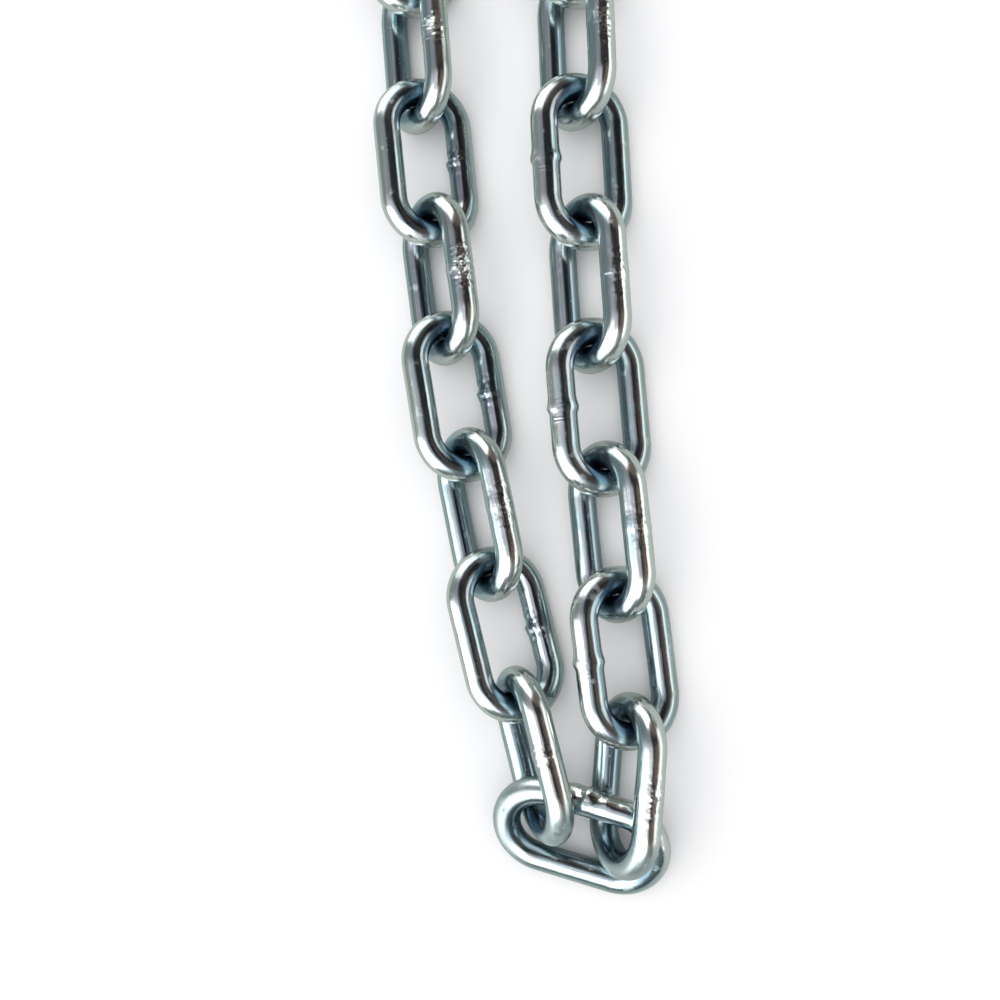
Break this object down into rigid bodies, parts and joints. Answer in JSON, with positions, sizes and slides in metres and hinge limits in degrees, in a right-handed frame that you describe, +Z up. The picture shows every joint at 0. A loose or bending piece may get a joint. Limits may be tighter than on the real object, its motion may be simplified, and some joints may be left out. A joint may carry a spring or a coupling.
{
  "type": "welded steel chain",
  "caption": "Bright zinc-plated welded short-link steel chain, lying doubled in a U on a level floor, every link free to swing in the next.",
  "frame": {"origin": "on the floor, below the middle of the whole chain's box", "axes": "+Y along the doubled chain, away from the turn link; +X to the right with the turn link nearest the viewer; +Z up from the floor"},
  "size_m": [0.0862, 0.4922, 0.0228],
  "materials": {
    "bright_zinc": "bright electro-plated zinc with a pale blue passivation, mirror-like between fine drawn lines, with small raised welds"
  },
  "bodies": {
    "turn_link": {"turn_link": "bright_zinc"},
    "link_left_01": {"link_left_01": "bright_zinc"},
    "link_left_02": {"link_left_02": "bright_zinc"},
    "link_left_03": {"link_left_03": "bright_zinc"},
    "link_left_04": {"link_left_04": "bright_zinc"},
    "link_left_05": {"link_left_05": "bright_zinc"},
    "link_left_06": {"link_left_06": "bright_zinc"},
    "link_left_07": {"link_left_07": "bright_zinc"},
    "link_left_08": {"link_left_08": "bright_zinc"},
    "link_left_09": {"link_left_09": "bright_zinc"},
    "link_left_10": {"link_left_10": "bright_zinc"},
    "link_left_11": {"link_left_11": "bright_zinc"},
    "link_left_12": {"link_left_12": "bright_zinc"},
    "link_left_13": {"link_left_13": "bright_zinc"},
    "link_left_14": {"link_left_14": "bright_zinc"},
    "link_left_15": {"link_left_15": "bright_zinc"},
    "link_right_01": {"link_right_01": "bright_zinc"},
    "link_right_02": {"link_right_02": "bright_zinc"},
    "link_right_03": {"link_right_03": "bright_zinc"},
    "link_right_04": {"link_right_04": "bright_zinc"},
    "link_right_05": {"link_right_05": "bright_zinc"},
    "link_right_06": {"link_right_06": "bright_zinc"},
    "link_right_07": {"link_right_07": "bright_zinc"},
    "link_right_08": {"link_right_08": "bright_zinc"},
    "link_right_09": {"link_right_09": "bright_zinc"},
    "link_right_10": {"link_right_10": "bright_zinc"},
    "link_right_11": {"link_right_11": "bright_zinc"},
    "link_right_12": {"link_right_12": "bright_zinc"},
    "link_right_13": {"link_right_13": "bright_zinc"},
    "link_right_14": {"link_right_14": "bright_zinc"},
    "link_right_15": {"link_right_15": "bright_zinc"}
  },
  "joints": [
    {"name": "left_swing_01", "type": "hinge", "parent": "turn_link", "child": "link_left_01", "pos_m": [0.01001, -0.22012, 0.01226], "axis": [0.7795, 0.2045, -0.592], "range_deg": [-70, 0]},
    {"name": "left_swing_02", "type": "hinge", "parent": "link_left_01", "child": "link_left_02", "pos_m": [0.00267, -0.1924, 0.01142], "axis": [0.5726, 0.1502, 0.8059], "range_deg": [0, 70]},
    {"name": "left_swing_03", "type": "hinge", "parent": "link_left_02", "child": "link_left_03", "pos_m": [-0.00506, -0.16248, 0.00953], "axis": [0.7629, 0.1973, -0.6157], "range_deg": [-70, 0]},
    {"name": "left_swing_04", "type": "hinge", "parent": "link_left_03", "child": "link_left_04", "pos_m": [-0.01144, -0.13184, 0.00953], "axis": [0.7707, 0.1645, 0.6157], "range_deg": [-70, 70]},
    {"name": "left_swing_05", "type": "hinge", "parent": "link_left_04", "child": "link_left_05", "pos_m": [-0.01667, -0.10097, 0.00953], "axis": [0.7764, 0.135, -0.6157], "range_deg": [-70, 70]},
    {"name": "left_swing_06", "type": "hinge", "parent": "link_left_05", "child": "link_left_06", "pos_m": [-0.02087, -0.06996, 0.00953], "axis": [-0.7805, -0.1088, -0.6157], "range_deg": [-70, 70]},
    {"name": "left_swing_07", "type": "hinge", "parent": "link_left_06", "child": "link_left_07", "pos_m": [-0.02417, -0.03883, 0.00953], "axis": [-0.7833, -0.0858, 0.6157], "range_deg": [-70, 70]},
    {"name": "left_swing_08", "type": "hinge", "parent": "link_left_07", "child": "link_left_08", "pos_m": [-0.0267, -0.00763, 0.00953], "axis": [0.7852, 0.066, 0.6157], "range_deg": [-70, 70]},
    {"name": "left_swing_09", "type": "hinge", "parent": "link_left_08", "child": "link_left_09", "pos_m": [-0.02858, 0.02361, 0.00953], "axis": [0.7865, 0.0492, -0.6157], "range_deg": [-70, 70]},
    {"name": "left_swing_10", "type": "hinge", "parent": "link_left_09", "child": "link_left_10", "pos_m": [-0.02992, 0.05489, 0.00953], "axis": [-0.7872, -0.0352, -0.6157], "range_deg": [-70, 70]},
    {"name": "left_swing_11", "type": "hinge", "parent": "link_left_10", "child": "link_left_11", "pos_m": [-0.03082, 0.08617, 0.00953], "axis": [-0.7876, -0.024, 0.6157], "range_deg": [-70, 70]},
    {"name": "left_swing_12", "type": "hinge", "parent": "link_left_11", "child": "link_left_12", "pos_m": [-0.03138, 0.11747, 0.00953], "axis": [0.7879, 0.0152, 0.6157], "range_deg": [-70, 70]},
    {"name": "left_swing_13", "type": "hinge", "parent": "link_left_12", "child": "link_left_13", "pos_m": [-0.0317, 0.14877, 0.00953], "axis": [0.788, 0.0087, -0.6157], "range_deg": [-70, 70]},
    {"name": "left_swing_14", "type": "hinge", "parent": "link_left_13", "child": "link_left_14", "pos_m": [-0.03184, 0.18007, 0.00953], "axis": [-0.788, -0.0042, -0.6157], "range_deg": [-70, 70]},
    {"name": "left_swing_15", "type": "hinge", "parent": "link_left_14", "child": "link_left_15", "pos_m": [-0.03189, 0.21137, 0.00953], "axis": [-0.788, -0.0015, 0.6157], "range_deg": [-70, 70]},
    {"name": "right_swing_01", "type": "hinge", "parent": "turn_link", "child": "link_right_01", "pos_m": [0.0306, -0.22419, 0.01058], "axis": [0.7267, -0.0572, -0.6845], "range_deg": [0, 70]},
    {"name": "right_swing_02", "type": "hinge", "parent": "link_right_01", "child": "link_right_02", "pos_m": [0.03266, -0.19813, 0.01068], "axis": [0.6824, -0.0537, 0.729], "range_deg": [-70, 0]},
    {"name": "right_swing_03", "type": "hinge", "parent": "link_right_02", "child": "link_right_03", "pos_m": [0.02813, -0.16718, 0.00953], "axis": [0.7821, 0.096, -0.6157], "range_deg": [0, 70]},
    {"name": "right_swing_04", "type": "hinge", "parent": "link_right_03", "child": "link_right_04", "pos_m": [0.02503, -0.13603, 0.00953], "axis": [0.784, 0.0799, 0.6157], "range_deg": [-70, 70]},
    {"name": "right_swing_05", "type": "hinge", "parent": "link_right_04", "child": "link_right_05", "pos_m": [0.0225, -0.10484, 0.00953], "axis": [0.7853, 0.0654, -0.6157], "range_deg": [-70, 70]},
    {"name": "right_swing_06", "type": "hinge", "parent": "link_right_05", "child": "link_right_06", "pos_m": [0.02047, -0.0736, 0.00953], "axis": [-0.7863, -0.0526, -0.6157], "range_deg": [-70, 70]},
    {"name": "right_swing_07", "type": "hinge", "parent": "link_right_06", "child": "link_right_07", "pos_m": [0.01887, -0.04234, 0.00953], "axis": [-0.7869, -0.0415, 0.6157], "range_deg": [-70, 70]},
    {"name": "right_swing_08", "type": "hinge", "parent": "link_right_07", "child": "link_right_08", "pos_m": [0.01765, -0.01107, 0.00953], "axis": [0.7874, 0.0319, 0.6157], "range_deg": [-70, 70]},
    {"name": "right_swing_09", "type": "hinge", "parent": "link_right_08", "child": "link_right_09", "pos_m": [0.01674, 0.02022, 0.00953], "axis": [0.7877, 0.0238, -0.6157], "range_deg": [-70, 70]},
    {"name": "right_swing_10", "type": "hinge", "parent": "link_right_09", "child": "link_right_10", "pos_m": [0.01609, 0.05151, 0.00953], "axis": [-0.7878, -0.017, -0.6157], "range_deg": [-70, 70]},
    {"name": "right_swing_11", "type": "hinge", "parent": "link_right_10", "child": "link_right_11", "pos_m": [0.01566, 0.08281, 0.00953], "axis": [-0.7879, -0.0116, 0.6157], "range_deg": [-70, 70]},
    {"name": "right_swing_12", "type": "hinge", "parent": "link_right_11", "child": "link_right_12", "pos_m": [0.01539, 0.11411, 0.00953], "axis": [0.788, 0.0073, 0.6157], "range_deg": [-70, 70]},
    {"name": "right_swing_13", "type": "hinge", "parent": "link_right_12", "child": "link_right_13", "pos_m": [0.01523, 0.14541, 0.00953], "axis": [0.788, 0.0042, -0.6157], "range_deg": [-70, 70]},
    {"name": "right_swing_14", "type": "hinge", "parent": "link_right_13", "child": "link_right_14", "pos_m": [0.01516, 0.17671, 0.00953], "axis": [-0.788, -0.002, -0.6157], "range_deg": [-70, 70]},
    {"name": "right_swing_15", "type": "hinge", "parent": "link_right_14", "child": "link_right_15", "pos_m": [0.01514, 0.20801, 0.00953], "axis": [-0.788, -0.0007, 0.6157], "range_deg": [-70, 70]}
  ]
}
